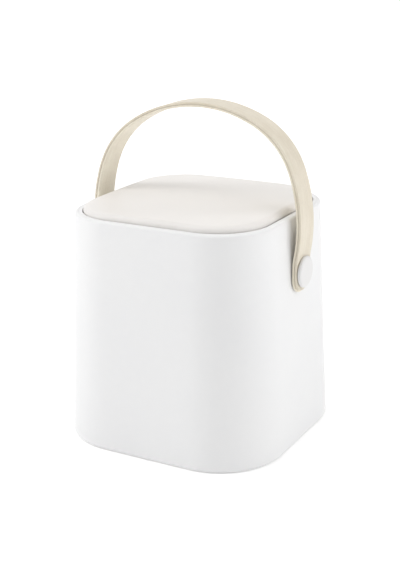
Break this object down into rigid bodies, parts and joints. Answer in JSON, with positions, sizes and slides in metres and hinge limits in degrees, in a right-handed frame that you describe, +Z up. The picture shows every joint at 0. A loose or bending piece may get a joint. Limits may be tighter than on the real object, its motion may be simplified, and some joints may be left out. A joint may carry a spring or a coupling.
{
  "type": "countertop trash can",
  "caption": "Small rounded-square countertop bin with an inset rocking lid in a lift-off ring, a lift-out bucket and a swinging strap handle on round side caps.",
  "frame": {"origin": "on the table, under the middle of the body", "axes": "+Z up; +X along the handle's hinge axis, towards the right-hand pivot; +Y to the back"},
  "size_m": [0.171, 0.1672, 0.242],
  "materials": {
    "shell_plastic": "matte white moulded plastic",
    "lid_plastic": "satin warm white moulded plastic",
    "lid_pan_plastic": "matte moulded plastic",
    "base_plastic": "fine-textured moulded plastic",
    "bucket_plastic": "thin moulded plastic",
    "cap_plastic": "satin white",
    "strap_outer": "smooth beige imitation leather",
    "strap_core": "plain stiffener sheet",
    "strap_lining": "beige imitation leather",
    "nylon": "natural nylon",
    "rubber": "soft grey rubber",
    "screw_steel": "zinc plated",
    "pin_steel": "ground steel",
    "weight_steel": "plated steel bar"
  },
  "bodies": {
    "body": {"outer_shell": "shell_plastic", "base_plate": "base_plastic", "base_screws": "screw_steel", "rubber_feet": "rubber", "inner_bucket": "bucket_plastic", "pivot_cap_right": "cap_plastic", "pivot_cap_left": "cap_plastic", "pivot_screw_right": "screw_steel", "pivot_screw_left": "screw_steel", "clamp_washer_right": "screw_steel", "clamp_washer_left": "screw_steel", "wall_washer_right": "nylon", "wall_washer_left": "nylon"},
    "handle": {"handle_strap": "strap_outer", "handle_core": "strap_core", "handle_lining": "strap_lining", "strap_bush_right": "nylon", "strap_bush_left": "nylon"},
    "lid_carrier": {"top_frame": "shell_plastic", "lid_bush_right": "nylon", "lid_bush_left": "nylon"},
    "lid": {"lid_panel": "lid_plastic", "lid_underside": "lid_pan_plastic", "lid_weight": "weight_steel", "lid_pin_right": "pin_steel", "lid_pin_left": "pin_steel"}
  },
  "joints": [
    {"name": "handle_swing", "type": "hinge", "parent": "body", "child": "handle", "pos_m": [0, 0, 0.1282], "axis": [1, 0, 0], "range_deg": [-100, 100]},
    {"name": "carrier_lift", "type": "slide", "parent": "body", "child": "lid_carrier", "axis": [0, 0, 1], "range_m": [0, 0.01]},
    {"name": "lid_rock", "type": "hinge", "parent": "lid_carrier", "child": "lid", "pos_m": [0, 0, 0.1637], "axis": [1, 0, 0], "range_deg": [-55, 55]}
  ]
}
